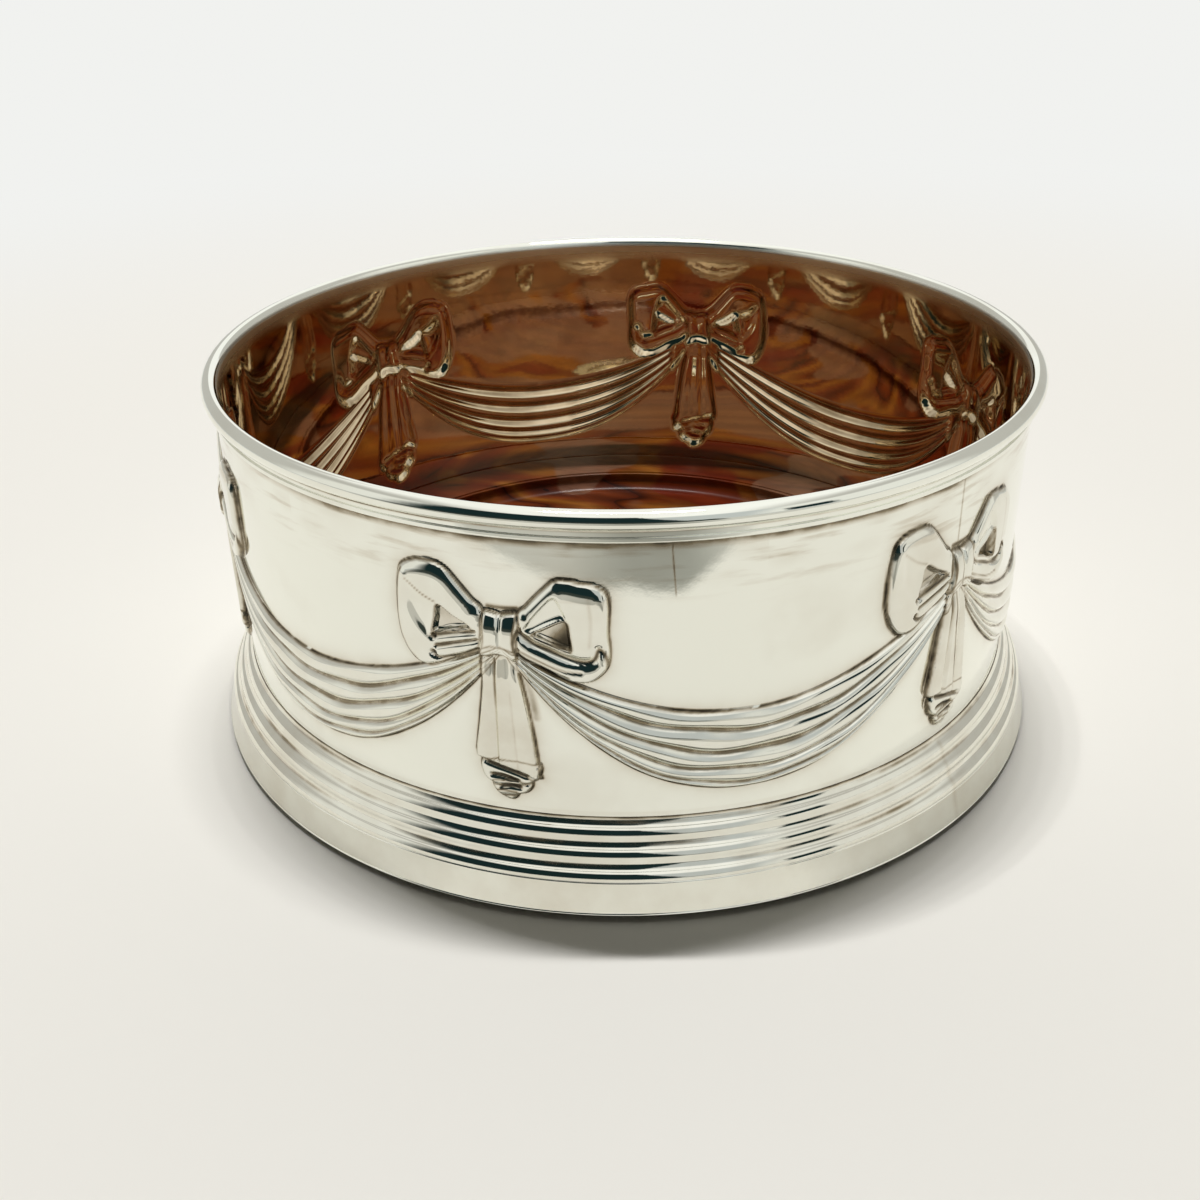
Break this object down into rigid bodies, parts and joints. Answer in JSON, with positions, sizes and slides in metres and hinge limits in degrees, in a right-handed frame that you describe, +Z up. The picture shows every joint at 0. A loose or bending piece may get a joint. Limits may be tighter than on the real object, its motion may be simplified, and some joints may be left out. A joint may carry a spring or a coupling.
{
  "type": "wine bottle coaster",
  "caption": "Round silver-mounted bottle coaster with a bow and swag gallery, reeded foot and turned wooden base.",
  "frame": {"origin": "centre of the underside of the baize", "axes": "+Z up along the axis of the coaster; -Y towards the middle of one bow"},
  "size_m": [0.1338, 0.1338, 0.0573],
  "materials": {
    "silver": "polished, dark in the recesses",
    "wood": "French polished",
    "baize": "felt"
  },
  "bodies": {
    "root": {"gallery": "silver", "rim_wire": "silver", "foot_moulding": "silver", "wood_base": "wood", "centre_boss": "silver", "boss_pin": "silver", "baize_pad": "baize"}
  },
  "joints": []
}
